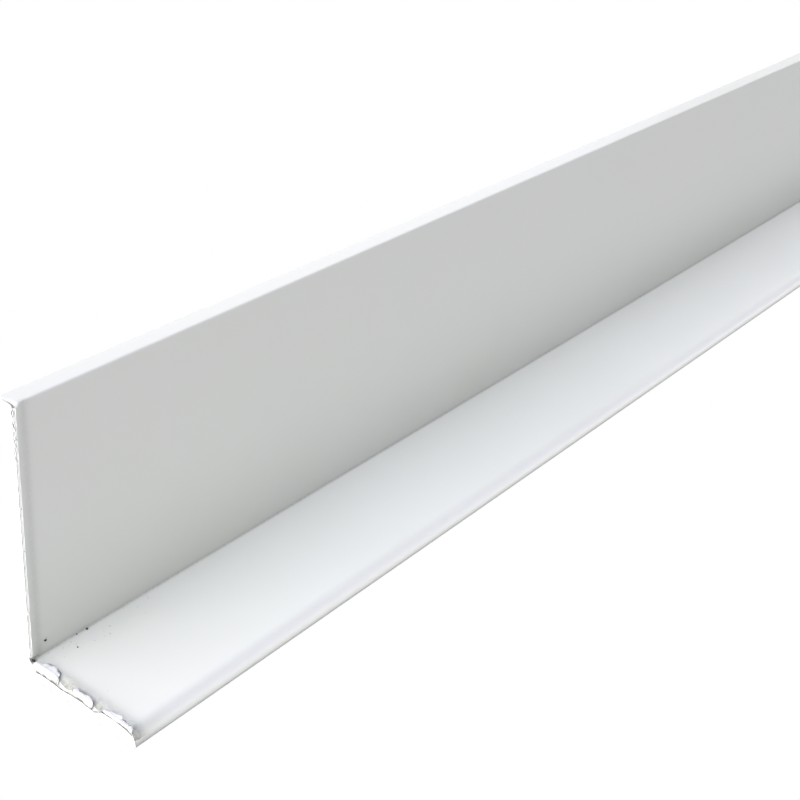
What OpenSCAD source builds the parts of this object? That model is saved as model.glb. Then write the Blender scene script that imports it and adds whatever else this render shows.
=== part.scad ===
// Self-adhesive door sweep: an unequal L-angle cut from extruded white PVC, with strips of
// double-sided foam tape down the back of its tall leg and a peel-off liner on each strip.
// +X runs along the door, +Y points to the door and +Z is up. The origin is at the middle of
// the underside, centred in depth between the foot's front edge and the outermost liner.

/* [Angle] */
// Length of the sweep, cut to the width of the door
sweep_len = 914; // [300:1:2400]
// Height of the tall leg, measured outside
face_h = 50; // [40:0.5:120]
// Depth of the foot leg, measured outside
foot_d = 27; // [12:0.5:80]
// Thickness of both legs
wall = 3.5; // [1.6:0.1:6]
// Rounding of the foot's upper front edge, limited by the wall
nose_r = 2; // [0.3:0.1:3.5]
// Rounding of the foot's lower front edge, limited by the wall
toe_r = 0.3; // [0.2:0.1:1]
// Rounding of the tall leg's two top edges, limited by the wall
crest_r = 0.4; // [0.2:0.1:3]
// Rounding of the outside of the corner
heel_r = 0.6; // [0.2:0.1:3]
// Fillet in the inside of the corner
root_r = 0.3; // [0.2:0.1:3]

/* [Foam tape] */
// Width of each strip of tape
tape_w = 12; // [6:0.5:19]
// Thickness of the foam with its two coats of adhesive
tape_t = 1.1; // [0.5:0.1:3]
// Distance from the top edge, and from the heel, to the nearer strip
tape_inset = 4; // [2:0.5:7]
// How far each strip stops short of the cut ends
tape_end_gap = 3; // [0:0.5:10]

/* [Release liner] */
// Thickness of the coated paper liner
liner_t = 0.15; // [0.1:0.05:0.5]
// How far the liner stands past each long edge of its tape, to lift it by
liner_lip = 1.5; // [0:0.25:2]

/* [Hidden] */
$fn = 48;
// A cut runs this far past the faces that it opens
cut_over = 0.5;
// The front edge, the back of the tall leg and the tape's adhesive face, along Y
front_y = -(foot_d + tape_t + liner_t) / 2;
back_y = front_y + foot_d;
bond_y = back_y + tape_t;
tape_len = sweep_len - 2 * tape_end_gap;
upper_tape_z = face_h - tape_inset - tape_w;
lower_tape_z = tape_inset;
// Roundings as built, so that each edge of a leg keeps a narrow flat between its two
nose_fit = min(nose_r, 0.6 * wall);
toe_fit = min(toe_r, 0.3 * wall);
crest_fit = min(crest_r, 0.45 * wall);

// What lies between a square corner at the origin and an arc of radius r inside it
module corner_waste(r) {
    difference() {
        translate([-cut_over, -cut_over]) square(r + cut_over);
        translate([r, r]) circle(r);
    }
}

// The same at a corner of the section, turned to face the given way
module waste_at(y, z, turn, r) {
    translate([y, z]) rotate(turn) corner_waste(r);
}

// Cross-section of the angle, its front edge at 0 and its underside at 0
module angle_section() {
    difference() {
        union() {
            square([foot_d, wall]);
            translate([foot_d - wall, 0]) square([wall, face_h]);
            difference() {
                translate([foot_d - wall - root_r, wall - cut_over]) square(root_r + cut_over);
                translate([foot_d - wall - root_r, wall + root_r]) circle(root_r);
            }
        }
        waste_at(0, 0, 0, toe_fit);
        waste_at(0, wall, -90, nose_fit);
        waste_at(foot_d - wall, face_h, -90, crest_fit);
        waste_at(foot_d, face_h, 180, crest_fit);
        waste_at(foot_d, 0, 90, heel_r);
    }
}

module angle_profile() {
    color("whitesmoke")
        translate([-sweep_len / 2, front_y, 0])
            rotate([90, 0, 90])
                linear_extrude(sweep_len) angle_section();
}

module foam_tape(low_z) {
    color("lightgray")
        translate([-tape_len / 2, back_y, low_z])
            cube([tape_len, tape_t, tape_w]);
}

module release_liner(tape_low_z) {
    color("goldenrod")
        translate([-tape_len / 2, bond_y, tape_low_z - liner_lip])
            cube([tape_len, liner_t, tape_w + 2 * liner_lip]);
}

angle_profile();
foam_tape(upper_tape_z);  // foam_tape_upper
foam_tape(lower_tape_z);  // foam_tape_lower
release_liner(upper_tape_z);  // release_liner_upper
release_liner(lower_tape_z);  // release_liner_lower
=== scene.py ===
import math
import random

import bmesh
import bpy
from bpy.props import FloatProperty, FloatVectorProperty, PointerProperty, StringProperty
from mathutils import Matrix, Vector, noise


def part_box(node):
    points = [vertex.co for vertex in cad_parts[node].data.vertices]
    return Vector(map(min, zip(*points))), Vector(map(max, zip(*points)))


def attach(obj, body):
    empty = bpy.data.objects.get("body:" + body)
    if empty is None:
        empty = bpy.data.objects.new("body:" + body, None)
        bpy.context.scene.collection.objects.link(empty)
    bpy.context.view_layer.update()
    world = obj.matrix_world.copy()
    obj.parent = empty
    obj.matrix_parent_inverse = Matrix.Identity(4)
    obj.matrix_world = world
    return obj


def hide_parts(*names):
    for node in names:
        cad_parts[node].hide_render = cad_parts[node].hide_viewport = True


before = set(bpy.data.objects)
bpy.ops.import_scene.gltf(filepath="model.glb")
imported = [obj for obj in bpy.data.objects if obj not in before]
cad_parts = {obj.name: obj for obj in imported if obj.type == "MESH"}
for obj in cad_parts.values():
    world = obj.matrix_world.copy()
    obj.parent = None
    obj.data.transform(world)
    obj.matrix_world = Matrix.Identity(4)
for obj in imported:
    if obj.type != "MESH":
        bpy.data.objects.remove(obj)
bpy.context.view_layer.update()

bl_info = {
    "name": "Door sweep",
    "version": (1, 0, 0),
    "blender": (4, 5, 0),
    "location": "3D View > Sidebar > Door sweep",
    "description": "Builds an L-angle door sweep with its foam tape, liners and studio",
    "category": "Object",
}

MM = 0.001
ANGLE_LOW, ANGLE_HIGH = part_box("angle_profile")


# ---------------------------------------------------------------- sizes and colours


class AngleSizes(bpy.types.PropertyGroup):
    """Sizes of the extruded angle that its box doesn't give."""

    wall: FloatProperty(name="Wall", description="Thickness of both legs", default=3.5 * MM, unit="LENGTH")
    nose_round: FloatProperty(
        name="Nose rounding", description="Radius of the foot's upper front edge",
        default=2.0 * MM, unit="LENGTH",
    )
    toe_round: FloatProperty(
        name="Toe rounding", description="Radius of the foot's lower front edge",
        default=0.3 * MM, unit="LENGTH",
    )
    crest_round: FloatProperty(
        name="Crest rounding", description="Radius of the top edges", default=0.4 * MM, unit="LENGTH"
    )
    heel_round: FloatProperty(
        name="Heel rounding", description="Radius outside the corner", default=0.6 * MM, unit="LENGTH"
    )
    root_fillet: FloatProperty(
        name="Root fillet", description="Radius inside the corner", default=0.3 * MM, unit="LENGTH"
    )
    burr_room: FloatProperty(
        name="Burr room",
        description="How far each sawn face stands inside the overall length, for its burr",
        default=0.4 * MM,
        unit="LENGTH",
    )
    lip: FloatProperty(
        name="Cut lip", description="How far the surface swells beside a saw cut",
        default=0.22 * MM, unit="LENGTH",
    )
    grid: FloatProperty(
        name="Grid", description="Spacing of points across the legs", default=0.45 * MM, unit="LENGTH"
    )


class TapeSizes(bpy.types.PropertyGroup):
    """Sizes of the tape and the liners that their boxes don't give."""

    film: FloatProperty(
        name="Film", description="Thickness of each coat of adhesive", default=0.06 * MM, unit="LENGTH"
    )
    waist: FloatProperty(
        name="Waist", description="How far the slit foam stands inside the adhesive",
        default=0.12 * MM, unit="LENGTH",
    )
    paper: FloatProperty(
        name="Paper", description="Thickness of the liner's paper", default=0.09 * MM, unit="LENGTH"
    )
    step: FloatProperty(
        name="Step", description="Spacing of points along the strips", default=4.0 * MM, unit="LENGTH"
    )


class Colours(bpy.types.PropertyGroup):
    """Colours as sRGB hex values."""

    pvc: StringProperty(name="PVC", description="White extruded PVC", default="#EFF0EC")
    # painted highlight: a paler white painted round the nose in place of light on it
    nose_highlight: StringProperty(
        name="Rubbed PVC", description="Skin rubbed pale along the nose", default="#FEFEFF"
    )
    sawn: StringProperty(name="Sawn PVC", description="Freshly sawn PVC", default="#FAFBFC")
    # painted shade: the grey that the skin is darkened towards wherever shade is painted on it
    shade_and_grime: StringProperty(name="Grime", description="Handling dirt on the skin", default="#8F908C")
    # also the dark of the painted shadow lines under flakes and hanging burr
    scorch_and_shadow: StringProperty(name="Scorch", description="Scorched edge and grit", default="#1C1C1E")
    dust: StringProperty(name="Dust", description="Fine dust of sawn PVC", default="#C9C9C6")
    foam: StringProperty(name="Foam", description="Closed-cell foam", default="#DCDCDA")
    adhesive: StringProperty(name="Adhesive", description="Clear acrylic adhesive", default="#E6E2D2")
    liner: StringProperty(name="Liner", description="Coated kraft paper", default="#C9A677")
    floor: StringProperty(name="Floor", description="Frosted top of the light table", default="#A2A2A2")


class StudioSettings(bpy.types.PropertyGroup):
    """Camera and lights."""

    lens: FloatProperty(
        name="Lens", description="Focal length on a 36 mm sensor", default=65.13, unit="CAMERA"
    )
    azimuth: FloatProperty(
        name="Azimuth", description="Camera heading from +Y towards +X",
        default=math.radians(53.95), subtype="ANGLE",
    )
    elevation: FloatProperty(
        name="Elevation", description="How steeply the camera looks down",
        default=math.radians(29.67), subtype="ANGLE",
    )
    roll: FloatProperty(
        name="Roll", description="Lean of upright edges to the right",
        default=math.radians(4.72), subtype="ANGLE",
    )
    stand: FloatVectorProperty(
        name="Stand",
        description="Camera place from the inside corner at the sawn end",
        default=(-109.34 * MM, -146.62 * MM, 151.86 * MM),
        subtype="TRANSLATION",
    )
    sky: FloatProperty(name="Sky", description="Strength of the even light", default=0.06)
    glow: FloatProperty(name="Glow", description="Light that the lit table gives off by itself", default=0.5)
    brightness: FloatProperty(name="Brightness", description="Share of each softbox's own power", default=1.0)


# ---------------------------------------------------------------- small helpers


def linear(hex_colour, alpha=1.0):
    """An sRGB hex value as a linear colour."""
    channels = [int(hex_colour[i : i + 2], 16) / 255 for i in (1, 3, 5)]
    return [c / 12.92 if c <= 0.04045 else ((c + 0.055) / 1.055) ** 2.4 for c in channels] + [alpha]


def add_node(tree, kind, settings=None, **inputs):
    """A new node with its settings, and its inputs as values or as links from other sockets."""
    node = tree.nodes.new(kind)
    for name, value in (settings or {}).items():
        setattr(node, name, value)
    for name, value in inputs.items():
        key = int(name[1:]) if name[0] == "i" and name[1:].isdigit() else name.replace("_", " ")
        socket = node.inputs[key]
        if isinstance(value, bpy.types.NodeSocket):
            tree.links.new(value, socket)
        else:
            socket.default_value = value
    return node


def new_material(name):
    """An empty node material with its output and a principled shader."""
    material = bpy.data.materials.new(name)
    material.use_nodes = True
    tree = material.node_tree
    tree.nodes.clear()
    output = tree.nodes.new("ShaderNodeOutputMaterial")
    shader = tree.nodes.new("ShaderNodeBsdfPrincipled")
    tree.links.new(shader.outputs[0], output.inputs["Surface"])
    return material, tree, shader


def new_piece(name, vertices, faces, materials, smooth=True, dirt_and_painted_light=None):
    """A mesh object from points and faces, in the row frame, with how much dirt and painted light each point
    carries.
    """
    mesh = bpy.data.meshes.new(name)
    mesh.from_pydata([tuple(v) for v in vertices], [], faces)
    mesh.validate()
    if dirt_and_painted_light:
        mesh.attributes.new("dirt_and_painted_light", "FLOAT", "POINT").data.foreach_set("value", dirt_and_painted_light)
    shape = bmesh.new()
    shape.from_mesh(mesh)
    bmesh.ops.recalc_face_normals(shape, faces=shape.faces)
    shape.to_mesh(mesh)
    shape.free()
    for polygon in mesh.polygons:
        polygon.use_smooth = smooth
    for material in materials:
        mesh.materials.append(material)
    piece = bpy.data.objects.new(name, mesh)
    bpy.context.scene.collection.objects.link(piece)
    return piece


def spaced(start, end, step):
    """Evenly spaced numbers from start to end, no further apart than step."""
    count = max(1, math.ceil(abs(end - start) / step))
    return [start + (end - start) * i / count for i in range(count + 1)]


def bell(distance, width):
    """1 at no distance, falling smoothly to 0 over about two widths."""
    return math.exp(-((distance / width) ** 2))


def waver(x, y, z):
    """Smooth noise between -1 and 1: about one rise and fall per unit of each number."""
    return noise.noise(Vector((x, y, z)))


# ---------------------------------------------------------------- materials


def soil_and_shade(tree, clean, darker, texture, nose_highlight=None):
    """A clean colour turned towards a darker one by a piece's dirt and painted shade, broken up by a texture.

    Where that value is negative, it turns towards a paler colour instead: a painted highlight."""
    dirt_and_painted_light = add_node(tree, "ShaderNodeAttribute", {"attribute_name": "dirt_and_painted_light"}).outputs["Fac"]
    product = {"operation": "MULTIPLY", "use_clamp": True}
    if nose_highlight:
        highlight_amount = add_node(tree, "ShaderNodeMath", product, i0=dirt_and_painted_light, i1=-1.0)
        highlighted = add_node(tree, "ShaderNodeMix", {"data_type": "RGBA"}, i0=highlight_amount.outputs[0], i6=clean, i7=nose_highlight)
        clean = highlighted.outputs[2]
    patchy = add_node(
        tree, "ShaderNodeMapRange", Value=texture, From_Min=0.3, From_Max=0.7, To_Min=0.75, To_Max=1.25
    )
    amount = add_node(tree, "ShaderNodeMath", product, i0=dirt_and_painted_light, i1=patchy.outputs[0])
    mix = add_node(tree, "ShaderNodeMix", {"data_type": "RGBA"}, i0=amount.outputs[0], i6=clean, i7=darker)
    return mix.outputs[2]


def extruded_pvc(colours):
    """Rigid PVC as it leaves the die: satin white, with faint lines drawn along its length."""
    material, tree, shader = new_material("extruded_pvc")
    place = add_node(tree, "ShaderNodeTexCoord").outputs["Object"]
    # die lines: about 0.5 mm apart across the legs and metres long, just enough to break a highlight
    drawn = add_node(tree, "ShaderNodeMapping", Vector=place, Scale=(3.0, 2000.0, 2000.0))
    lines = add_node(tree, "ShaderNodeTexNoise", Vector=drawn.outputs[0], Scale=1.0, Detail=3.0)
    # cloudiness of the white: patches of about 40 mm, so that no stretch is one flat colour
    clouds = add_node(tree, "ShaderNodeTexNoise", Vector=place, Scale=25.0, Detail=3.0, Roughness=0.5)
    # fine grain of the cooled skin: about 0.15 mm, which dulls the shine
    grain = add_node(tree, "ShaderNodeTexNoise", Vector=place, Scale=6500.0, Detail=2.0)
    # the painted shade lies unevenly, in specks of about 0.5 mm
    speckled = add_node(tree, "ShaderNodeTexNoise", Vector=place, Scale=2000.0, Detail=3.0)
    white = linear(colours.pvc)
    shade = add_node(tree, "ShaderNodeValToRGB", Fac=clouds.outputs[0])
    shade.color_ramp.elements[0].position = 0.3
    shade.color_ramp.elements[0].color = [c * f for c, f in zip(white, (0.985, 0.985, 0.975, 1.0))]
    shade.color_ramp.elements[1].position = 0.7
    shade.color_ramp.elements[1].color = white
    gloss = add_node(
        tree, "ShaderNodeMapRange", Value=clouds.outputs[0],
        From_Min=0.3, From_Max=0.7, To_Min=0.36, To_Max=0.44,
    )
    line_bump = add_node(tree, "ShaderNodeBump", Height=lines.outputs[0], Strength=0.05, Distance=0.02 * MM)
    skin_bump = add_node(
        tree, "ShaderNodeBump", Height=grain.outputs[0], Strength=0.08, Distance=0.02 * MM,
        Normal=line_bump.outputs[0],
    )
    # painted shade and a painted highlight: the skin is darkened in the inside corner, the tears, the bands
    # beside the cut and along the toe, and paled round the nose
    colour = soil_and_shade(tree, shade.outputs[0], linear(colours.shade_and_grime), speckled.outputs[0], linear(colours.nose_highlight))
    tree.links.new(colour, shader.inputs["Base Color"])
    tree.links.new(gloss.outputs[0], shader.inputs["Roughness"])
    tree.links.new(skin_bump.outputs[0], shader.inputs["Normal"])
    shader.inputs["IOR"].default_value = 1.53
    return material


def sawn_pvc(colours):
    """PVC torn by a saw: chalky white with fine ridges from the teeth, and dark at thin edges, which are
    partly painted shadow lines.
    """
    material, tree, shader = new_material("sawn_pvc")
    place = add_node(tree, "ShaderNodeTexCoord").outputs["Object"]
    # tooth marks: about 0.4 mm, which roughen the sawn face where light rakes it
    ridges = add_node(tree, "ShaderNodeTexNoise", Vector=place, Scale=2500.0, Detail=4.0, Roughness=0.7)
    tone = add_node(tree, "ShaderNodeValToRGB", Fac=ridges.outputs[0])
    white = linear(colours.sawn)
    tone.color_ramp.elements[0].position = 0.3
    tone.color_ramp.elements[0].color = [c * 0.93 for c in white[:3]] + [1.0]
    tone.color_ramp.elements[1].position = 0.6
    tone.color_ramp.elements[1].color = white
    bump = add_node(tree, "ShaderNodeBump", Height=ridges.outputs[0], Strength=0.35, Distance=0.05 * MM)
    # the dark at thin edges includes painted shadow lines along flake rims, the hanging burr and the foot's
    # lower arris
    colour = soil_and_shade(tree, tone.outputs[0], linear(colours.scorch_and_shadow), ridges.outputs[0])
    tree.links.new(colour, shader.inputs["Base Color"])
    tree.links.new(bump.outputs[0], shader.inputs["Normal"])
    shader.inputs["Roughness"].default_value = 0.7
    shader.inputs["IOR"].default_value = 1.53
    return material


def saw_grit(colours):
    """Scorched PVC crumbs and pale shop dust: matt and mottled."""
    material, tree, shader = new_material("saw_grit")
    place = add_node(tree, "ShaderNodeTexCoord").outputs["Object"]
    # mottling of about 0.3 mm, so that each crumb has lighter and darker sides
    specks = add_node(tree, "ShaderNodeTexNoise", Vector=place, Scale=3000.0, Detail=2.0)
    tone = add_node(tree, "ShaderNodeValToRGB", Fac=specks.outputs[0])
    dark = linear(colours.scorch_and_shadow)
    tone.color_ramp.elements[0].position = 0.35
    tone.color_ramp.elements[0].color = dark
    tone.color_ramp.elements[1].position = 0.75
    tone.color_ramp.elements[1].color = [min(1.0, c * 4.0) for c in dark[:3]] + [1.0]
    colour = soil_and_shade(tree, linear(colours.dust), tone.outputs[0], specks.outputs[0])
    tree.links.new(colour, shader.inputs["Base Color"])
    shader.inputs["Roughness"].default_value = 0.8
    shader.inputs["IOR"].default_value = 1.5
    return material


def closed_cell_foam(colours):
    """Polyethylene foam slit from a roll: pale grey and matt, pitted with cut cells."""
    material, tree, shader = new_material("closed_cell_foam")
    place = add_node(tree, "ShaderNodeTexCoord").outputs["Object"]
    # cut cells: about 0.25 mm across, with thin walls standing between them
    cells = add_node(tree, "ShaderNodeTexVoronoi", {"feature": "SMOOTH_F1"}, Vector=place, Scale=4000.0)
    tone = add_node(tree, "ShaderNodeValToRGB", Fac=cells.outputs["Distance"])
    pale = linear(colours.foam)
    tone.color_ramp.elements[0].position = 0.1
    tone.color_ramp.elements[0].color = [c * 0.72 for c in pale[:3]] + [1.0]
    tone.color_ramp.elements[1].position = 0.6
    tone.color_ramp.elements[1].color = pale
    bump = add_node(
        tree, "ShaderNodeBump", Height=cells.outputs["Distance"], Strength=0.6, Distance=0.08 * MM
    )
    tree.links.new(tone.outputs[0], shader.inputs["Base Color"])
    tree.links.new(bump.outputs[0], shader.inputs["Normal"])
    shader.inputs["Roughness"].default_value = 0.85
    return material


def acrylic_adhesive(colours):
    """Pressure-sensitive acrylic, coated wet: tacky, glossy and slightly yellow, with coating streaks."""
    material, tree, shader = new_material("acrylic_adhesive")
    place = add_node(tree, "ShaderNodeTexCoord").outputs["Object"]
    # coating streaks: about 0.8 mm apart and 60 mm long, which stretch the reflections
    drawn = add_node(tree, "ShaderNodeMapping", Vector=place, Scale=(16.0, 1200.0, 1200.0))
    streaks = add_node(tree, "ShaderNodeTexNoise", Vector=drawn.outputs[0], Scale=1.0, Detail=2.0)
    tone = add_node(tree, "ShaderNodeValToRGB", Fac=streaks.outputs[0])
    clear = linear(colours.adhesive)
    tone.color_ramp.elements[0].position = 0.3
    tone.color_ramp.elements[0].color = [c * 0.9 for c in clear[:3]] + [1.0]
    tone.color_ramp.elements[1].position = 0.7
    tone.color_ramp.elements[1].color = clear
    bump = add_node(tree, "ShaderNodeBump", Height=streaks.outputs[0], Strength=0.3, Distance=0.03 * MM)
    tree.links.new(tone.outputs[0], shader.inputs["Base Color"])
    tree.links.new(bump.outputs[0], shader.inputs["Normal"])
    shader.inputs["Roughness"].default_value = 0.22
    shader.inputs["IOR"].default_value = 1.47
    return material


def coated_kraft(colours):
    """Kraft paper pressed from long fibres and coated with silicone: brown, flecked, with a soft sheen."""
    material, tree, shader = new_material("coated_kraft")
    place = add_node(tree, "ShaderNodeTexCoord").outputs["Object"]
    # fibres: about 0.3 mm wide and 3 mm long, lying mostly along the roll
    laid = add_node(tree, "ShaderNodeMapping", Vector=place, Scale=(350.0, 3000.0, 3000.0))
    fibres = add_node(
        tree, "ShaderNodeTexNoise", Vector=laid.outputs[0], Scale=1.0, Detail=5.0, Roughness=0.7
    )
    # cloudy formation of the sheet: patches of about 12 mm
    clouds = add_node(tree, "ShaderNodeTexNoise", Vector=place, Scale=80.0, Detail=2.0)
    brown = linear(colours.liner)
    tone = add_node(tree, "ShaderNodeValToRGB", Fac=fibres.outputs[0])
    tone.color_ramp.elements[0].position = 0.3
    tone.color_ramp.elements[0].color = [c * f for c, f in zip(brown, (0.8, 0.74, 0.66, 1.0))]
    tone.color_ramp.elements[1].position = 0.65
    tone.color_ramp.elements[1].color = brown
    cloudy = add_node(tree, "ShaderNodeMapRange", Value=clouds.outputs[0], To_Min=0.9, To_Max=1.08)
    colour = add_node(
        tree, "ShaderNodeVectorMath", {"operation": "SCALE"}, i0=tone.outputs[0], Scale=cloudy.outputs[0]
    )
    bump = add_node(tree, "ShaderNodeBump", Height=fibres.outputs[0], Strength=0.25, Distance=0.02 * MM)
    tree.links.new(colour.outputs[0], shader.inputs["Base Color"])
    tree.links.new(bump.outputs[0], shader.inputs["Normal"])
    shader.inputs["Roughness"].default_value = 0.42
    shader.inputs["IOR"].default_value = 1.46
    return material


# ---------------------------------------------------------------- the angle


def arc(centre_y, centre_z, radius, start, end, count):
    """Points on an arc in the section, angles in degrees from +Y towards +Z."""
    points = []
    for i in range(count + 1):
        angle = math.radians(start + (end - start) * i / count)
        points.append((centre_y + radius * math.cos(angle), centre_z + radius * math.sin(angle)))
    return points


def straight(start, end, count):
    """Points on a straight line in the section."""
    return [tuple(a + (b - a) * i / count for a, b in zip(start, end)) for i in range(count + 1)]


def joined(stretches):
    """Stretches of points end to end, without the points that they share."""
    points = list(stretches[0])
    for stretch in stretches[1:]:
        points += stretch[1:]
    return points


def section_sides(sizes):
    """The show side and the hidden side of the section, from the nose to the crest.

    Both have the same number of points, so that point k of one lies across the wall from
    point k of the other."""
    front, back, top = ANGLE_LOW.y, ANGLE_HIGH.y, ANGLE_HIGH.z
    wall, nose, toe = sizes.wall, sizes.nose_round, sizes.toe_round
    crest, heel, root = sizes.crest_round, sizes.heel_round, sizes.root_fillet
    face = back - wall
    foot_count = math.ceil((face - front) / sizes.grid)
    tall_count = math.ceil((top - wall) / sizes.grid)
    show = joined(
        [
            arc(front + nose, wall - nose, nose, 180, 90, 10),
            straight((front + nose, wall), (face - root, wall), foot_count),
            arc(face - root, wall + root, root, -90, 0, 6),
            straight((face, wall + root), (face, top - crest), tall_count),
            arc(face + crest, top - crest, crest, 180, 90, 8),
        ]
    )
    hidden = joined(
        [
            arc(front + toe, toe, toe, 180, 270, 10),
            straight((front + toe, 0.0), (back - heel, 0.0), foot_count),
            arc(back - heel, heel, heel, -90, 0, 6),
            straight((back, heel), (back, top - crest), tall_count),
            arc(back - crest, top - crest, crest, 0, 90, 8),
        ]
    )
    return show, hidden


def side_normals(points):
    """Outward direction at each point of one side of the section."""
    normals = []
    for i in range(len(points)):
        before, after = points[max(0, i - 1)], points[min(len(points) - 1, i + 1)]
        along = Vector((after[0] - before[0], after[1] - before[1])).normalized()
        normals.append((-along.y, along.x))
    return normals


def stations():
    """Distances from a sawn face at which the section is repeated, dense beside the cut."""
    soiled_reach, plain_reach = 6.0, 60.0
    steps = [0.0, 0.06, 0.14]
    while steps[-1] < soiled_reach:
        steps.append(steps[-1] + 0.12 + 0.06 * steps[-1])
    while steps[-1] < plain_reach:
        steps.append(steps[-1] * 1.35)
    return [s * MM for s in steps]


# Where the saw tore the foot's upper arris at the first sawn end: (distance from the inside
# corner, half-width, depth) in mm of each place where the skin rolls down over the cut
TEARS = [(0.2, 0.5, 1.0), (8.0, 1.9, 1.25), (12.2, 1.6, 0.5), (15.2, 1.2, 1.2)]
TEARS += [(19.0, 1.5, 0.2), (23.3, 0.7, 0.6)]


def foot_tear(distance):
    """How far the foot's arris is rolled down, by its distance from the inside corner."""
    return MM * sum(depth * bell(distance / MM - at, half) for at, half, depth in TEARS)


def cut_shape(y, z, normal, depth, rough, sizes):
    """Offset of a show-side point beside a saw cut, at the given depth from it."""
    # the heat of the cut leaves the skin swollen and rippled
    ripple = waver(y * 600, z * 600, depth * 900) * 0.35
    push = sizes.lip * bell(depth - 0.1 * MM, 1.5 * MM) * (1.0 + ripple * rough)
    if z <= sizes.wall + sizes.root_fillet:
        push -= rough * foot_tear(ANGLE_HIGH.y - sizes.wall - y) * bell(depth, 0.7 * MM)
    # the crest's corner is chipped off
    chip_depth, chip_reach = 0.55 * MM, 0.6 * MM
    chipped = rough * chip_depth * bell(ANGLE_HIGH.z - z, chip_reach) * bell(depth, chip_reach)
    return normal[0] * push, normal[1] * push - chipped


def nose_darkening(depth, rough):
    """How much darker the front of the foot is at a depth from the sawn face."""
    return 0.3 * rough * bell(depth, 5.0 * MM)


def skin_painted_light(y, z, depth, rough, sizes):
    """How much darker or paler the show side is painted at a point of the section, at a depth from the sawn
    face: mostly painted shade, and a painted highlight round the nose.
    """
    distance = ANGLE_HIGH.y - sizes.wall - y
    corner = math.hypot(distance, z - sizes.wall)
    # painted shade: a thin dark line along the whole inside corner, and a darker patch where it meets the cut
    dirt_and_painted_light = 0.4 * bell(corner, 0.3 * MM)
    dirt_and_painted_light += 0.16 * rough * bell(corner, 2.0 * MM) * bell(depth, 2.0 * MM)
    if z > sizes.wall + sizes.root_fillet:
        # painted shade: a darker band down the tall leg, just inside its swollen lip
        return dirt_and_painted_light + 0.16 * rough * bell(depth - 1.4 * MM, 0.8 * MM)
    # painted shade: inside the rolled-down tears, and in a band behind them that fades towards the inside
    # corner
    dirt_and_painted_light += 0.5 * rough * min(1.0, foot_tear(distance) / MM) * bell(depth, 1.3 * MM)
    dirt_and_painted_light += 0.26 * rough * min(1.0, distance / (8 * MM)) * bell(depth - 0.6 * MM, 1.2 * MM)
    # darker where the nose meets the cut
    dirt_and_painted_light += 0.15 * rough * bell(y - ANGLE_LOW.y, 2.8 * MM) * bell(depth, 2.0 * MM)
    # round the nose, from 0 at its top to 1: darker by the cut, and a painted highlight that makes it paler
    # away from it
    low = min(1.0, max(0.0, (sizes.wall - z) / sizes.nose_round))
    dirt_and_painted_light += nose_darkening(depth, rough) * low * low
    dirt_and_painted_light -= (1.0 - rough * bell(depth, 6.0 * MM)) * bell(low - 0.55, 0.45) * min(1.0, 4.0 * low)
    return dirt_and_painted_light


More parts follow.
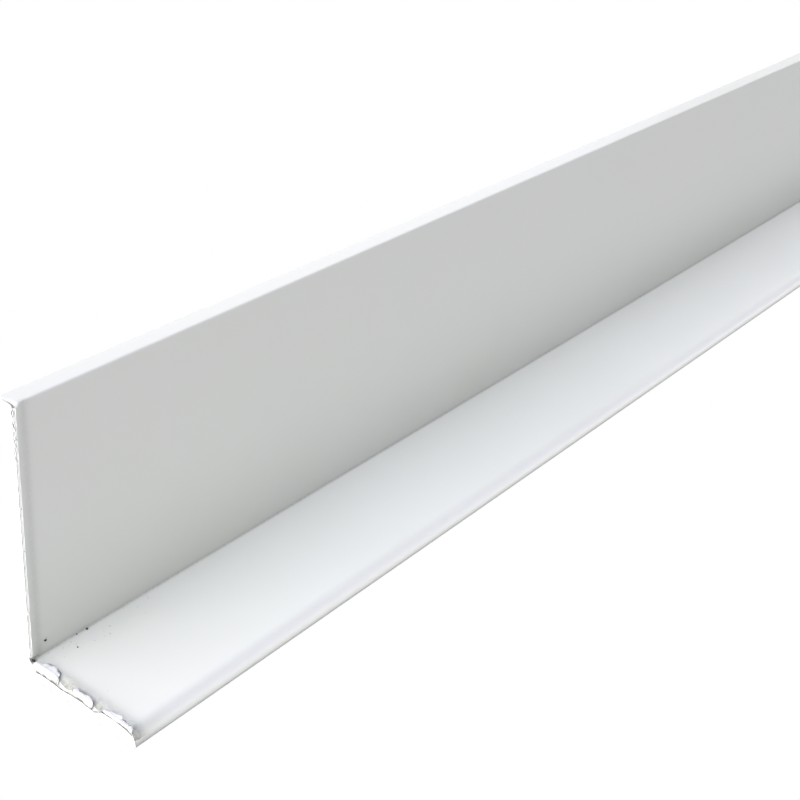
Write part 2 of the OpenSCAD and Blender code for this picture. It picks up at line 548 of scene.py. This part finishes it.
def make_angle(sizes, skin, sawn):
    """The extruded angle, lofted along its length, with a torn arris at the first sawn end."""
    show, hidden = section_sides(sizes)
    show_normals = side_normals(show)
    count, layers = len(show), 8
    rim = [(k, 0) for k in range(count)]
    rim += [(count - 1, t) for t in range(1, layers)]
    rim += [(k, layers) for k in range(count - 1, -1, -1)]
    rim += [(0, t) for t in range(layers - 1, 0, -1)]
    ends = (ANGLE_LOW.x + sizes.burr_room, ANGLE_HIGH.x - sizes.burr_room)
    # how much the sawn face's rim is eased in, and how rough the cut at each end is
    ease = 0.06 * MM
    near_rough, far_rough = 1.0, 0.25

    def section_point(k, t, depth, rough):
        """A point of the section: k along the path, t across the wall, beside a cut."""
        y0, z0 = show[k]
        y1, z1 = hidden[k]
        dy, dz = cut_shape(y0, z0, show_normals[k], depth, rough, sizes)
        across = t / layers
        hold = (1.0 - across) ** 2
        y = y0 + (y1 - y0) * across + dy * hold
        z = z0 + (z1 - z0) * across + dz * hold
        if depth == 0.0:
            pull = ease / (sizes.wall / 2)
            y += ((y0 + y1) / 2 - y) * pull
            z += ((z0 + z1) / 2 - z) * pull
        return min(ANGLE_HIGH.y, max(ANGLE_LOW.y, y)), min(ANGLE_HIGH.z, max(ANGLE_LOW.z, z))

    def saw_ridge(y, z, rough):
        """How far the sawn face dips at a point, always into the piece."""
        pitch = 0.7 * MM
        teeth = 0.5 + 0.5 * math.sin((z * 0.94 + y * 0.34) * 2 * math.pi / pitch)
        tear = 0.5 + 0.5 * waver(y * 900, z * 900, 3.0)
        return (0.03 * teeth + 0.08 * tear * rough) * MM

    vertices, faces, slots, dirt_and_painted_light = [], [], [], []
    near_steps = stations()
    middle = spaced(ends[0] + near_steps[-1], ends[1] - near_steps[-1], 25 * MM)[1:-1]
    # where each ring stands, how far from the cut, and how rough the cut is; no cut in the middle
    places = [(ends[0] + s, s, near_rough) for s in near_steps]
    places += [(x, 1.0, 0.0) for x in middle]
    places += [(ends[1] - s, s, far_rough) for s in reversed(near_steps)]
    rings = []
    for x, depth, rough in places:
        if depth == 0.0:
            index = {}
            toward = 1.0 if x < 0 else -1.0
            for k in range(count):
                for t in range(layers + 1):
                    y, z = section_point(k, t, depth, rough)
                    index[k, t] = len(vertices)
                    vertices.append((x + toward * saw_ridge(y, z, rough), y, z))
                    dirt_and_painted_light.append(0.0)
            rings.append([index[key] for key in rim])
            for k in range(count - 1):
                for t in range(layers):
                    faces.append((index[k, t], index[k + 1, t], index[k + 1, t + 1], index[k, t + 1]))
                    slots.append(1)
        else:
            first = len(vertices)
            for k, t in rim:
                y, z = section_point(k, t, depth, rough)
                vertices.append((x, y, z))
                if t == 0:
                    dirt_and_painted_light.append(skin_painted_light(*show[k], depth, rough, sizes))
                elif t == layers:
                    # painted shade: a dark line along the toe, as its contact shadow on the table
                    dirt_and_painted_light.append(0.65 * bell(hidden[k][0] - ANGLE_LOW.y, sizes.toe_round))
                else:
                    dirt_and_painted_light.append(nose_darkening(depth, rough) if k == 0 else 0.0)
            rings.append(list(range(first, first + len(rim))))
    for i, (ring, following) in enumerate(zip(rings, rings[1:])):
        for a in range(len(rim)):
            b = (a + 1) % len(rim)
            faces.append((ring[a], ring[b], following[b], following[a]))
            slots.append(1 if i == 0 or i == len(rings) - 2 else 0)
    piece = new_piece("pvc_angle", vertices, faces, [skin, sawn], dirt_and_painted_light=dirt_and_painted_light)
    piece.data.polygons.foreach_set("material_index", slots)
    return piece


# ---------------------------------------------------------------- what the saw left


def blend(pairs, at):
    """The value at a place between the pairs of a rising list."""
    if at <= pairs[0][0]:
        return pairs[0][1]
    for (start, first), (end, second) in zip(pairs, pairs[1:]):
        if at <= end:
            return first + (second - first) * (at - start) / (end - start)
    return pairs[-1][1]


class Arris:
    """A sawn arris of the show side: where a distance along it, inwards and outwards lies."""

    def __init__(self, far, tall, sizes):
        self.inward = Vector((-1, 0, 0)) if far else Vector((1, 0, 0))
        self.along = Vector((0, 0, 1)) if tall else Vector((0, -1, 0))
        self.out = Vector((0, -1, 0)) if tall else Vector((0, 0, 1))
        end = ANGLE_HIGH.x - sizes.burr_room if far else ANGLE_LOW.x + sizes.burr_room
        self.origin = Vector((end, ANGLE_HIGH.y - sizes.wall, sizes.wall))

    def point(self, along, inward, out):
        """A point, from distances in mm."""
        return self.origin + (self.along * along + self.inward * inward + self.out * out) * MM


def closed_sheet(shape, fronts, backs, darkness):
    """Adds a thin closed sheet to a shape's lists, from the rows of its two sides.

    darkness says how dark the rim is painted at each row: the painted shadow line under a flake's lifted
    edges."""
    vertices, faces, dirt_and_painted_light = shape
    rows, columns = len(fronts), len(fronts[0])
    first = len(vertices)
    for side in (fronts, backs):
        for i, row in enumerate(side):
            for j, point in enumerate(row):
                vertices.append(point)
                from_rim = min(i, j, rows - 1 - i, columns - 1 - j)
                dirt_and_painted_light.append(darkness[i] * (1.0, 0.6, 0.0)[min(2, from_rim)])

    def at(side, i, j):
        return first + (side * rows + i) * columns + j

    for i in range(rows - 1):
        for j in range(columns - 1):
            for side in (0, 1):
                faces.append((at(side, i, j), at(side, i + 1, j), at(side, i + 1, j + 1), at(side, i, j + 1)))
        for j in (0, columns - 1):
            faces.append((at(0, i, j), at(1, i, j), at(1, i + 1, j), at(0, i + 1, j)))
    for j in range(columns - 1):
        for i in (0, rows - 1):
            faces.append((at(0, i, j), at(0, i, j + 1), at(1, i, j + 1), at(1, i, j)))


def add_flake(shape, arris, outline, lower, lift):
    """A flake that the blade folded back over the skin and that hangs over the sawn face, in mm."""
    # its thickness, the length of its thinned ends, how far out it bends down and bulges below that
    thick, taper, bend, bulge = 0.08, 0.35, 0.1, 0.14
    start, end = outline[0][0], outline[-1][0]
    fronts, backs, darkness = [], [], []
    for along in spaced(start, end, 0.11):
        ends = min(1.0, (along - start) / taper + 0.15, (end - along) / taper + 0.15)
        reach = blend(outline, along) + 0.12 * waver(along * 4.0, start, 1.0)
        low = (blend(lower, along) + 0.12 * waver(along * 5.0, start, 7.0)) * ends
        curl = lift * (0.7 + 0.5 * waver(along * 1.3, start, 13.0)) * ends
        front, back = [], []
        for j in range(11):
            if j <= 5:
                q = j / 5
                inward = reach * (1 - q) - bend * q
                out = curl * (1.0 - 0.35 * math.sin(math.pi * q))
            else:
                q = (j - 5) / 5
                inward = -bend - bulge * math.sin(q * math.pi / 2)
                out = curl * (1 - q) + low * q
            front.append((inward, out))
        for j, (inward, out) in enumerate(front):
            before, after = front[max(0, j - 1)], front[min(10, j + 1)]
            path = Vector((after[0] - before[0], after[1] - before[1])).normalized()
            back.append((inward - path.y * thick, out + path.x * thick))
        fronts.append([arris.point(along, *pair) for pair in front])
        backs.append([arris.point(along, *pair) for pair in back])
        # painted shadow: how dark the flake's rim is, for the shadow gap under its lifted edges
        darkness.append(min(1.0, max(0.1, 0.6 + 1.2 * waver(along * 0.8, start, 21.0))))
    closed_sheet(shape, fronts, backs, darkness)


def add_thread(shape, points, radii, darkness):
    """A closed thread of burr along some points, thick and thin, with how dark each point is."""
    vertices, faces, dirt_and_painted_light = shape
    sides, first = 6, len(shape[0])
    for i, point in enumerate(points):
        before, after = points[max(0, i - 1)], points[min(len(points) - 1, i + 1)]
        direction = (after - before).normalized()
        across = direction.cross(Vector((1.0, 0.31, 0.17))).normalized()
        other = direction.cross(across)
        for k in range(sides):
            turn = 2 * math.pi * k / sides
            vertices.append(point + (across * math.cos(turn) + other * math.sin(turn)) * radii[i])
            dirt_and_painted_light.append(darkness[i])
    for i in range(len(points) - 1):
        for k in range(sides):
            a, b = first + i * sides + k, first + i * sides + (k + 1) % sides
            faces.append((a, b, b + sides, a + sides))
    faces.append(tuple(first + k for k in range(sides)))
    faces.append(tuple(first + (len(points) - 1) * sides + k for k in range(sides)))


def add_bead(shape, arris, line, off, darker, thin, thick):
    """A thread along a line of (distance, out) pairs, off mm inside it: a torn rim of a cut, and the painted
    shadow lines along the foot's sawn end.
    """
    points, radii, darkness = [], [], []
    for along in spaced(line[0][0], line[-1][0], 0.2):
        wander = waver(along * 2.5, thick * 90, 4.0)
        ends = min(1.0, (along - line[0][0]) / 0.5 + 0.1, (line[-1][0] - along) / 0.5 + 0.1)
        points.append(arris.point(along, off - 0.03 * wander, blend(line, along) + 0.06 * wander))
        swing = 0.5 + 0.5 * waver(along * 1.7, thick * 50, 9.0)
        radii.append((thin + (thick - thin) * swing) * ends * MM)
        darkness.append(darker * min(1.0, 0.85 + 0.6 * waver(along * 0.8, thick * 70, 2.0)))
    add_thread(shape, points, radii, darkness)


# The lower edge of what hangs over the sawn face, as (distance from the inside corner, height)
HANGING = [(1.1, -1.45), (2.1, -1.3), (3.3, -1.2), (5.9, -1.3), (7.3, -1.45), (9.4, -1.2), (11.9, -1.08)]
HANGING += [(14.7, -1.4), (15.6, -0.9), (16.5, -0.3), (19.2, -0.24), (21.8, -0.4), (23.3, -0.95)]
# and at the cleaner far end
FAR_HANGING = [(0.8, -0.3), (8.0, -0.45), (15.0, -0.25), (21.5, -0.3)]

# Flakes on the foot's arris, each as (distance from the inside corner, reach over the skin)
FOOT_FLAKES = [
    [(0.7, 0.2), (1.4, 0.45), (2.4, 0.75), (2.9, 1.2), (3.8, 1.4), (4.6, 1.35), (5.4, 1.1), (6.0, 0.8)]
    + [(6.3, 0.1)],
    [(5.3, 0.0), (6.0, 0.05), (6.6, -0.05)],
    [(9.8, 0.0), (10.4, 0.4), (11.1, 0.25), (12.0, 0.3), (12.9, 0.35), (13.7, 0.2), (14.5, 0.0)],
    [(16.7, 0.0), (17.8, 0.3), (18.9, 0.65), (19.6, 0.95), (20.1, 0.75), (20.5, 0.25)],
    [(20.2, 0.3), (21.0, 0.45), (21.8, 0.25), (22.3, 0.05)],
    [(21.9, 0.1), (22.4, 0.3), (22.9, 0.15), (23.1, 0.0)],
]

# The same on the tall leg's arris, by height above the inside corner
FACE_FLAKES = [[(9.0, 0.1), (9.3, 0.3), (9.7, 0.1)]]

# The braid of burr that hangs over the tall leg's arris near the top: from and to which height
BRAID = (37.0, 46.2)

# Grit in the angle: on the foot as (from the sawn face, from the inside corner, radius)
FOOT_GRIT = [(0.15, 0.3, 0.33), (9.0, 0.12, 0.17), (11.0, 0.3, 0.22), (7.1, 0.95, 0.1), (7.0, 2.7, 0.13)]
FOOT_GRIT += [(5.3, 1.2, 0.08), (2.9, 0.45, 0.1), (14.0, 2.4, 0.1), (12.7, 3.9, 0.09), (3.3, 13.9, 0.07)]
# and on the tall leg as (from the sawn face, above the inside corner, radius)
FACE_GRIT = [(2.8, 2.45, 0.2), (3.0, 2.75, 0.1), (0.1, 40.6, 0.14), (0.02, 28.7, 0.13), (0.05, 21.0, 0.11)]
# and in the torn outer corner of the crest as (above the inside corner, behind the face, radius)
CREST_GRIT = [(46.0, 0.1, 0.2), (46.1, 0.35, 0.2), (46.2, 0.65, 0.17), (46.25, 0.95, 0.15), (46.3, 1.3, 0.1)]
# How far flakes stand out from the foot's sawn face, and from the tall leg's
FOOT_LIFT, FACE_LIFT = 0.42, 0.36
# A speck with a smaller radius than this is pale dust, and a larger one is a dark crumb
CRUMB = 0.105
DUST_SPECKS = 26


def add_braid(shape, arris, low, high):
    """Two strands of burr that twist about each other, just outside a tall arris."""
    twist = 2.7
    for phase in (0.0, math.pi):
        points, radii, darkness = [], [], []
        for along in spaced(low, high, 0.15):
            turn = 2 * math.pi * along / twist + phase
            loose = 0.7 + 0.6 * waver(along * 0.7, phase, 5.0)
            inward, out = -0.19 + 0.1 * math.cos(turn), -0.15 + 0.3 * loose * math.sin(turn)
            points.append(arris.point(along, inward, out))
            radii.append((0.055 + 0.03 * waver(along * 1.9, phase, 8.0)) * MM)
            darkness.append(max(0.1, 0.5 + 0.8 * waver(along * 1.1, phase, 3.0)))
        add_thread(shape, points, radii, darkness)


def add_lower_arris_shade(shape, foot, sizes):
    """Painted shade: faint grey lines in two places along the lower arris of the foot's sawn end."""
    low = 0.15 - sizes.wall / MM
    for start, end in ((1.5, 5.0), (7.0, 17.5)):
        add_bead(shape, foot, [(start, low), (end, low)], 0.02, 0.3, 0.02, 0.05)


def add_hairs(shape, tall, sizes):
    """Two hairs of burr that stand along the sawn edge of the crest."""
    crest = (ANGLE_HIGH.z - sizes.wall) / MM
    for drop in (0.15, 0.3):
        hair = [tall.point(crest - drop, -0.1, -behind) for behind in (1.2, 1.6, 2.1, 2.6)]
        add_thread(shape, hair, [0.04 * MM] * len(hair), [0.4] * len(hair))


def far_flakes(chance):
    """Small flakes for the far end, on the foot's arris and on the tall leg's."""
    foot_flakes, face_flakes = [], []
    for at in (2.0, 5.5, 9.1, 12.2, 17.4):
        reach, width = chance.uniform(0.1, 0.4), chance.uniform(0.9, 1.6)
        foot_flakes.append([(at, 0.0), (at + 0.5, reach), (at + width, 0.0)])
    for at in (6.0, 17.5, 33.0):
        face_flakes.append([(at, 0.0), (at + 0.6, chance.uniform(0.1, 0.3)), (at + 1.3, 0.0)])
    return foot_flakes, face_flakes


def make_burrs(name, far, sizes, material, chance):
    """The flakes, the torn rim and the painted shadow lines along both show-side arrises of one sawn end."""
    shape = ([], [], [])
    foot, tall = Arris(far, False, sizes), Arris(far, True, sizes)
    foot_flakes, face_flakes = far_flakes(chance) if far else (FOOT_FLAKES, FACE_FLAKES)
    hanging = FAR_HANGING if far else HANGING
    for outline in foot_flakes:
        add_flake(shape, foot, outline, hanging, FOOT_LIFT)
    for outline in face_flakes:
        add_flake(shape, tall, outline, [(0.0, -0.1), (46.0, -0.06)], FACE_LIFT)
    # painted shadow: a dark thread along the lower edge of what hangs over the foot's sawn face, for the
    # shadow line under it
    add_bead(shape, foot, hanging, -0.24, 1.0, 0.05, 0.11)
    # a pale bead and a grey one run side by side up the tall leg
    add_bead(shape, tall, [(0.6, 0.03), (20.0, 0.05), (46.0, 0.04)], -0.03, 0.0, 0.04, 0.09)
    if far:
        add_bead(shape, tall, [(0.6, -0.08), (20.0, -0.06), (46.0, -0.08)], -0.13, 0.5, 0.04, 0.08)
    else:
        add_bead(shape, tall, [(0.6, -0.08), (20.0, -0.06), (38.0, -0.08)], -0.13, 0.6, 0.05, 0.1)
        add_braid(shape, tall, *BRAID)
        add_lower_arris_shade(shape, foot, sizes)
        add_hairs(shape, tall, sizes)
    return new_piece(name, shape[0], shape[1], [material], dirt_and_painted_light=shape[2])


def make_grit(sizes, material, chance):
    """Crumbs from the cut and paler specks of dust, each a small closed lump set into the skin."""
    foot, tall = Arris(False, False, sizes), Arris(False, True, sizes)
    scorched, smeared, dusty = 1.0, 0.4, 0.12
    spots = []
    for arris, grit in ((foot, FOOT_GRIT), (tall, FACE_GRIT)):
        for depth, along, radius in grit:
            spots.append((arris.point(along, depth, radius * 0.3), radius, scorched))
    spots += [(tall.point(height, -0.05, -behind), r, smeared) for height, behind, r in CREST_GRIT]
    for _ in range(DUST_SPECKS):
        along, depth = chance.uniform(0.3, 4.0), chance.uniform(1, 24)
        spots.append((foot.point(along, depth, 0.02), chance.uniform(0.03, 0.07), dusty))
    lump, dirt_and_painted_light = bmesh.new(), []
    for i, (place, radius, darker) in enumerate(spots):
        made = bmesh.ops.create_icosphere(lump, subdivisions=2, radius=radius * MM)
        stretch = Vector((chance.uniform(0.7, 1.3), chance.uniform(0.7, 1.2), chance.uniform(0.6, 1.0)))
        for vertex in made["verts"]:
            dented = 1.0 + 0.45 * waver(*(vertex.co / (radius * MM) * 1.4 + Vector((i * 3.1, 0, 0))))
            vertex.co = place + vertex.co * stretch * dented
            dirt_and_painted_light.append(dusty if radius < CRUMB else darker)
    mesh = bpy.data.meshes.new("saw_grit")
    lump.to_mesh(mesh)
    lump.free()
    mesh.attributes.new("dirt_and_painted_light", "FLOAT", "POINT").data.foreach_set("value", dirt_and_painted_light)
    mesh.materials.append(material)
    piece = bpy.data.objects.new("saw_grit", mesh)
    bpy.context.scene.collection.objects.link(piece)
    return piece


# ---------------------------------------------------------------- tape and liners


def loft(name, places, ring_at, materials, slot_of):
    """A closed piece lofted along the length from rings of points, with a fan at each end."""
    vertices, faces, slots = [], [], []
    for x in places:
        ring = ring_at(x)
        vertices += [(x, y, z) for y, z in ring]
    count = len(ring)
    for i in range(len(places) - 1):
        for k in range(count):
            a, b = i * count + k, i * count + (k + 1) % count
            faces.append((a, b, b + count, a + count))
            slots.append(slot_of(k))
    for first, x in ((0, places[0]), ((len(places) - 1) * count, places[-1])):
        ring = vertices[first : first + count]
        middle = Vector((x, sum(v[1] for v in ring) / count, sum(v[2] for v in ring) / count))
        vertices.append(tuple(middle))
        for k in range(count):
            faces.append((first + k, first + (k + 1) % count, len(vertices) - 1))
            slots.append(0)
    piece = new_piece(name, vertices, faces, materials)
    piece.data.polygons.foreach_set("material_index", slots)
    return piece


def make_tape(name, node, sizes, foam, adhesive):
    """Slit foam tape: a coat of adhesive on each face and a foam core that stands a little inside it."""
    low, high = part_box(node)
    depths = [0.0, sizes.film, sizes.film * 1.6]
    depths += [high.y - low.y - d for d in reversed(depths)]

    def ring_at(x):
        ring = []
        for edge, inwards in ((low.z, 1.0), (high.z, -1.0)):
            column = []
            for k, depth in enumerate(depths):
                ragged = 0.5 + 0.5 * waver(x * 70, depth * 900, edge * 400)
                inset = 0.05 * MM * ragged if k in (0, 1, 4, 5) else sizes.waist * (0.6 + 0.4 * ragged)
                column.append((low.y + depth, edge + inwards * inset))
            ring += column if inwards > 0 else list(reversed(column))
        return ring

    films = (0, 4, 5, 6, 10, 11)
    places = spaced(low.x, high.x, sizes.step)
    return loft(name, places, ring_at, [foam, adhesive], lambda k: 1 if k in films else 0)


def make_liner(name, node, sizes, paper):
    """A liner of coated paper: slit edges that wander a little, and a faint ripple from the roll."""
    low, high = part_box(node)
    room = high.y - low.y - sizes.paper

    def ring_at(x):
        front, back = [], []
        bottom = low.z + 0.12 * MM * (0.5 + 0.5 * waver(x * 22, 3.0, low.z * 90))
        top = high.z - 0.12 * MM * (0.5 + 0.5 * waver(x * 22, 8.0, low.z * 90))
        for i in range(9):
            z = bottom + (top - bottom) * i / 8
            ripple = room * (0.5 + 0.5 * waver(x * 28, z * 160, low.z * 90))
            front.append((low.y + ripple, z))
            back.append((low.y + ripple + sizes.paper, z))
        return front + list(reversed(back))

    return loft(name, spaced(low.x, high.x, sizes.step), ring_at, [paper], lambda k: 0)


def ready(piece, body, node):
    """Hands a piece over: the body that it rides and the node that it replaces."""
    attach(piece, body)
    if node:
        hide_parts(node)


def operator_sizes(context):
    return context.scene.sweep_angle, context.scene.sweep_colours


class SWEEP_OT_angle(bpy.types.Operator):
    """Builds the white L-angle with its sawn ends"""

    bl_idname = "sweep.angle"
    bl_label = "Angle"

    def execute(self, context):
        sizes, colours = operator_sizes(context)
        piece = make_angle(sizes, extruded_pvc(colours), sawn_pvc(colours))
        ready(piece, "sweep", "angle_profile")
        return {"FINISHED"}


class SWEEP_OT_burrs(bpy.types.Operator):
    """Adds the flakes, torn rims and grit that the saw left, with painted shadow lines under them"""

    bl_idname = "sweep.burrs"
    bl_label = "Burrs and grit"

    def execute(self, context):
        sizes, colours = operator_sizes(context)
        chance = random.Random(11)
        torn = sawn_pvc(colours)
        for name, far in (("near_burrs", False), ("far_burrs", True)):
            ready(make_burrs(name, far, sizes, torn, chance), "sweep", None)
        ready(make_grit(sizes, saw_grit(colours), chance), "sweep", None)
        return {"FINISHED"}


class SWEEP_OT_tapes(bpy.types.Operator):
    """Builds both strips of foam tape"""

    bl_idname = "sweep.tapes"
    bl_label = "Foam tape"

    def execute(self, context):
        colours, sizes = context.scene.sweep_colours, context.scene.sweep_tape
        foam, adhesive = closed_cell_foam(colours), acrylic_adhesive(colours)
        for end in ("upper", "lower"):
            piece = make_tape("tape_" + end, "foam_tape_" + end, sizes, foam, adhesive)
            ready(piece, "sweep", "foam_tape_" + end)
        return {"FINISHED"}


class SWEEP_OT_liners(bpy.types.Operator):
    """Builds the release liner on each strip of tape"""

    bl_idname = "sweep.liners"
    bl_label = "Release liners"

    def execute(self, context):
        colours, sizes = context.scene.sweep_colours, context.scene.sweep_tape
        paper = coated_kraft(colours)
        for end in ("upper", "lower"):
            piece = make_liner("liner_" + end, "release_liner_" + end, sizes, paper)
            ready(piece, end + "_liner", "release_liner_" + end)
        return {"FINISHED"}


# ---------------------------------------------------------------- stage


def aimed(location, target):
    """A matrix that places a light or camera and points its -Z at a target."""
    forward = (Vector(target) - Vector(location)).normalized()
    return Matrix.Translation(location) @ forward.to_track_quat("-Z", "Y").to_matrix().to_4x4()


# Softboxes round the sawn end that the camera looks at, which leave the show side in open shade:
# (name, place from that end, size in metres, power in watts, colour)
SOFTBOXES = [
    ("overhead", (0.0, 0.0, 1.6), (2.4, 1.6), 27.0, "#EAEDFF"),
    ("near_end", (-1.7, 0.0, 0.5), (1.4, 0.9), 26.0, "#FDFEF4"),
    ("far_end", (1.9, 0.0, 0.8), (1.4, 1.0), 8.0, "#FFF9E0"),
    ("back_near", (-1.3, 1.1, 0.8), (1.2, 1.0), 7.0, "#FFF2F0"),
    ("back_far", (1.4, 1.3, 0.8), (1.2, 1.0), 6.0, "#FEFFFC"),
]
# A lit strip let into the table along the front of the foot, which fills its rounded edge:
# (gap to the foot, width, power in watts)
STRIP = (0.0005, 0.008, 0.015)


def add_softbox(name, location, target, size, power, colour):
    light = bpy.data.lights.new(name, "AREA")
    light.shape = "RECTANGLE"
    light.size, light.size_y = size
    light.energy = power
    light.color = linear(colour)[:3]
    lamp = bpy.data.objects.new(name, light)
    lamp.matrix_world = aimed(location, target)
    bpy.context.scene.collection.objects.link(lamp)


def add_surround(radius):
    """A white surround that only the camera sees, so that every view ends in white."""
    white, tree, shader = new_material("white_surround")
    glow = add_node(tree, "ShaderNodeEmission", Color=(1.0, 1.0, 1.0, 1.0), Strength=1.0)
    output = next(node for node in tree.nodes if node.bl_idname == "ShaderNodeOutputMaterial")
    tree.links.new(glow.outputs[0], output.inputs["Surface"])
    tree.nodes.remove(shader)
    ball = bmesh.new()
    bmesh.ops.create_icosphere(ball, subdivisions=3, radius=radius)
    mesh = bpy.data.meshes.new("surround")
    ball.to_mesh(mesh)
    ball.free()
    mesh.materials.append(white)
    surround = bpy.data.objects.new("surround", mesh)
    bpy.context.scene.collection.objects.link(surround)
    surround.visible_diffuse = surround.visible_glossy = surround.visible_transmission = False
    surround.visible_volume_scatter = surround.visible_shadow = False


def add_camera(settings, sizes):
    """The camera, placed from the inside corner at the first sawn end."""
    corner = Vector((ANGLE_LOW.x + sizes.burr_room, ANGLE_HIGH.y - sizes.wall, sizes.wall))
    data = bpy.data.cameras.new("camera")
    data.sensor_width = 36.0
    data.lens = settings.lens
    data.clip_start = 10 * MM
    data.clip_end = 50.0
    camera = bpy.data.objects.new("camera", data)
    heading = Matrix.Rotation(-settings.azimuth, 4, "Z")
    tilt = Matrix.Rotation(math.pi / 2 - settings.elevation, 4, "X")
    lean = Matrix.Rotation(settings.roll, 4, "Z")
    camera.matrix_world = Matrix.Translation(corner + Vector(settings.stand)) @ heading @ tilt @ lean
    bpy.context.scene.collection.objects.link(camera)
    bpy.context.scene.camera = camera


class SWEEP_OT_stage(bpy.types.Operator):
    """Lays the floor and sets the lights and the camera"""

    bl_idname = "sweep.stage"
    bl_label = "Stage"

    def execute(self, context):
        sizes, colours = operator_sizes(context)
        settings = context.scene.sweep_studio
        reach = 6.0
        corners = [(-reach, -reach, 0), (reach, -reach, 0), (reach, reach, 0), (-reach, reach, 0)]
        frosted, _, shader = new_material("frosted_acrylic_table")
        shader.inputs["Base Color"].default_value = linear(colours.floor)
        shader.inputs["Roughness"].default_value = 0.9
        # a translucent table lit from below, so that what stands on it has hardly any shadow
        shader.inputs["Emission Color"].default_value = (1.0, 1.0, 1.0, 1.0)
        shader.inputs["Emission Strength"].default_value = settings.glow
        floor = new_piece("floor", corners, [(0, 1, 2, 3)], [frosted], smooth=False)
        # it lights the angle from below, but the camera looks past it at the white surround
        floor.visible_camera = False
        add_surround(reach + 1.0)
        world = bpy.data.worlds.new("even_light")
        world.use_nodes = True
        world.node_tree.nodes["Background"].inputs["Color"].default_value = (1.0, 1.0, 1.0, 1.0)
        world.node_tree.nodes["Background"].inputs["Strength"].default_value = settings.sky
        context.scene.world = world
        context.scene.view_settings.view_transform = "Standard"
        # the softboxes stand about the near end and face this point of it
        near = Vector((ANGLE_LOW.x + 0.15, ANGLE_HIGH.y, 0.02))
        for name, offset, size, power, colour in SOFTBOXES:
            add_softbox(name, near + Vector(offset), near, size, power * settings.brightness, colour)
        # the strip lies on the table in front of the foot, and shines up past the nose
        gap, width, power = STRIP
        middle = Vector((0.0, ANGLE_LOW.y - gap - width / 2, 0.0005))
        length = ANGLE_HIGH.x - ANGLE_LOW.x
        add_softbox("strip", middle, middle + Vector((0, 0, 1)), (length, width), power, "#FFFFFF")
        add_camera(settings, sizes)
        return {"FINISHED"}


class SWEEP_PT_panel(bpy.types.Panel):
    """Lists the pieces of the door sweep"""

    bl_idname = "SWEEP_PT_panel"
    bl_label = "Door sweep"
    bl_space_type = "VIEW_3D"
    bl_region_type = "UI"
    bl_category = "Door sweep"

    def draw(self, context):
        for operator in OPERATORS:
            self.layout.operator(operator.bl_idname)


GROUPS = {
    "sweep_angle": AngleSizes,
    "sweep_tape": TapeSizes,
    "sweep_colours": Colours,
    "sweep_studio": StudioSettings,
}
OPERATORS = (SWEEP_OT_stage, SWEEP_OT_angle, SWEEP_OT_burrs, SWEEP_OT_tapes, SWEEP_OT_liners)


def register():
    for group in GROUPS.values():
        bpy.utils.register_class(group)
    for operator in OPERATORS:
        bpy.utils.register_class(operator)
    bpy.utils.register_class(SWEEP_PT_panel)
    for name, group in GROUPS.items():
        setattr(bpy.types.Scene, name, PointerProperty(type=group))


def unregister():
    for name in GROUPS:
        delattr(bpy.types.Scene, name)
    bpy.utils.unregister_class(SWEEP_PT_panel)
    for operator in reversed(OPERATORS):
        bpy.utils.unregister_class(operator)
    for group in reversed(list(GROUPS.values())):
        bpy.utils.unregister_class(group)


def main():
    register()
    bpy.ops.sweep.stage()
    bpy.ops.sweep.angle()
    bpy.ops.sweep.burrs()
    bpy.ops.sweep.tapes()
    bpy.ops.sweep.liners()


if __name__ == "__main__":
    main()
